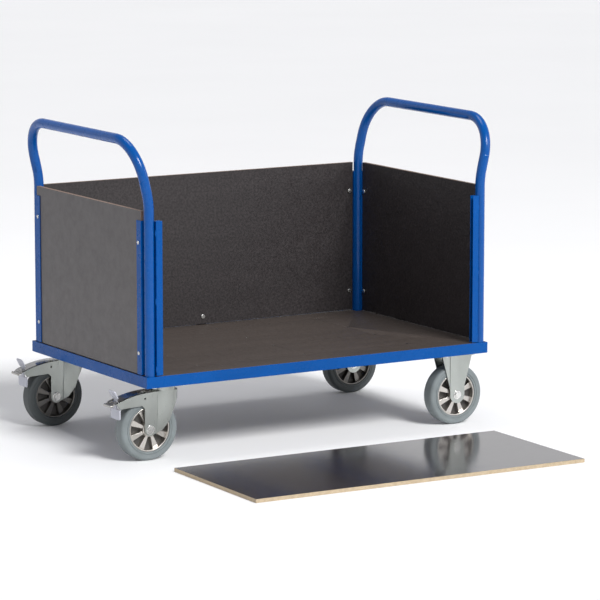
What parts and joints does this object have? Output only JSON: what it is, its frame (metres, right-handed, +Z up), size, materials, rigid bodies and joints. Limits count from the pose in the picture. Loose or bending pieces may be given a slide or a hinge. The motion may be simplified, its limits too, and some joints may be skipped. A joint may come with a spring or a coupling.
{
  "type": "platform_trolley",
  "caption": "Steel platform trolley with a plywood deck, three fixed board walls between two tubular push hoops, braked swivel castors at one end and a lift-out front board.",
  "frame": {"origin": "centre of the deck's top face", "axes": "+X along the deck towards the fixed castors, +Y across it towards the fixed back board, +Z up out of the deck"},
  "size_m": [1.4202, 1.475, 1.0301],
  "materials": {
    "blue_powder_coat": "glossy blue powder coat",
    "film_faced_plywood": "dark film-faced birch plywood with bare light edges",
    "zinc_plated_steel": "satin zinc plate",
    "dark_steel": "dark polished steel",
    "light_grey_pedal": "matt light grey paint",
    "grey_rubber_tyre": "matt grey solid rubber",
    "cast_aluminium": "die-cast aluminium"
  },
  "bodies": {
    "trolley": {"rail_front": "blue_powder_coat", "rail_rear": "blue_powder_coat", "rail_left": "blue_powder_coat", "rail_right": "blue_powder_coat", "cross_bearers": "blue_powder_coat", "corner_plates": "blue_powder_coat", "deck_board": "film_faced_plywood", "deck_screws": "zinc_plated_steel", "left_hoop": "blue_powder_coat", "right_hoop": "blue_powder_coat", "left_front_angle": "blue_powder_coat", "left_rear_angle": "blue_powder_coat", "right_front_angle": "blue_powder_coat", "right_rear_angle": "blue_powder_coat", "back_left_angle": "blue_powder_coat", "back_right_angle": "blue_powder_coat", "back_tab": "blue_powder_coat", "left_guide": "blue_powder_coat", "right_guide": "blue_powder_coat", "left_board": "film_faced_plywood", "right_board": "film_faced_plywood", "back_board": "film_faced_plywood", "board_bolts": "zinc_plated_steel", "board_nuts": "zinc_plated_steel", "castor_bolts": "zinc_plated_steel", "castor_nuts": "zinc_plated_steel", "left_front_plate": "zinc_plated_steel", "left_front_race": "zinc_plated_steel", "left_front_king_bolt": "zinc_plated_steel", "left_rear_plate": "zinc_plated_steel", "left_rear_race": "zinc_plated_steel", "left_rear_king_bolt": "zinc_plated_steel", "right_front_fork": "zinc_plated_steel", "right_rear_fork": "zinc_plated_steel", "right_axles": "zinc_plated_steel"},
    "left_front_swivel": {"left_front_fork": "zinc_plated_steel", "left_front_axle": "zinc_plated_steel", "left_front_lever_pin": "zinc_plated_steel"},
    "left_front_brake": {"left_front_lever": "dark_steel", "left_front_pedal": "light_grey_pedal", "left_front_shoe": "dark_steel"},
    "left_rear_swivel": {"left_rear_fork": "zinc_plated_steel", "left_rear_axle": "zinc_plated_steel", "left_rear_lever_pin": "zinc_plated_steel"},
    "left_rear_brake": {"left_rear_lever": "dark_steel", "left_rear_pedal": "light_grey_pedal", "left_rear_shoe": "dark_steel"},
    "left_front_wheel": {"left_front_bearings": "zinc_plated_steel", "left_front_rim": "cast_aluminium", "left_front_tyre": "grey_rubber_tyre"},
    "left_rear_wheel": {"left_rear_bearings": "zinc_plated_steel", "left_rear_rim": "cast_aluminium", "left_rear_tyre": "grey_rubber_tyre"},
    "right_front_wheel": {"right_front_bearings": "zinc_plated_steel", "right_front_rim": "cast_aluminium", "right_front_tyre": "grey_rubber_tyre"},
    "right_rear_wheel": {"right_rear_bearings": "zinc_plated_steel", "right_rear_rim": "cast_aluminium", "right_rear_tyre": "grey_rubber_tyre"},
    "loose_front_board": {"front_board": "film_faced_plywood"}
  },
  "joints": [
    {"name": "left_front_swivel_turn", "type": "hinge", "parent": "trolley", "child": "left_front_swivel", "pos_m": [-0.541, -0.326, -0.056], "axis": [0, 0, 1], "continuous": true},
    {"name": "left_front_brake_tip", "type": "hinge", "parent": "left_front_swivel", "child": "left_front_brake", "pos_m": [-0.599, -0.326, -0.066], "axis": [0, 1, 0], "range_deg": [-4, 0]},
    {"name": "left_front_wheel_roll", "type": "hinge", "parent": "left_front_swivel", "child": "left_front_wheel", "pos_m": [-0.604, -0.326, -0.176], "axis": [0, 1, 0], "continuous": true},
    {"name": "left_rear_swivel_turn", "type": "hinge", "parent": "trolley", "child": "left_rear_swivel", "pos_m": [-0.541, 0.326, -0.056], "axis": [0, 0, 1], "continuous": true},
    {"name": "left_rear_brake_tip", "type": "hinge", "parent": "left_rear_swivel", "child": "left_rear_brake", "pos_m": [-0.599, 0.326, -0.066], "axis": [0, 1, 0], "range_deg": [-4, 0]},
    {"name": "left_rear_wheel_roll", "type": "hinge", "parent": "left_rear_swivel", "child": "left_rear_wheel", "pos_m": [-0.604, 0.326, -0.176], "axis": [0, 1, 0], "continuous": true},
    {"name": "right_front_wheel_roll", "type": "hinge", "parent": "trolley", "child": "right_front_wheel", "pos_m": [0.55, -0.326, -0.176], "axis": [0, 1, 0], "continuous": true},
    {"name": "right_rear_wheel_roll", "type": "hinge", "parent": "trolley", "child": "right_rear_wheel", "pos_m": [0.55, 0.326, -0.176], "axis": [0, 1, 0], "continuous": true},
    {"name": "front_board_lift", "type": "slide", "parent": "trolley", "child": "loose_front_board", "axis": [0, 0, 1], "range_m": [0, 0.55]}
  ]
}
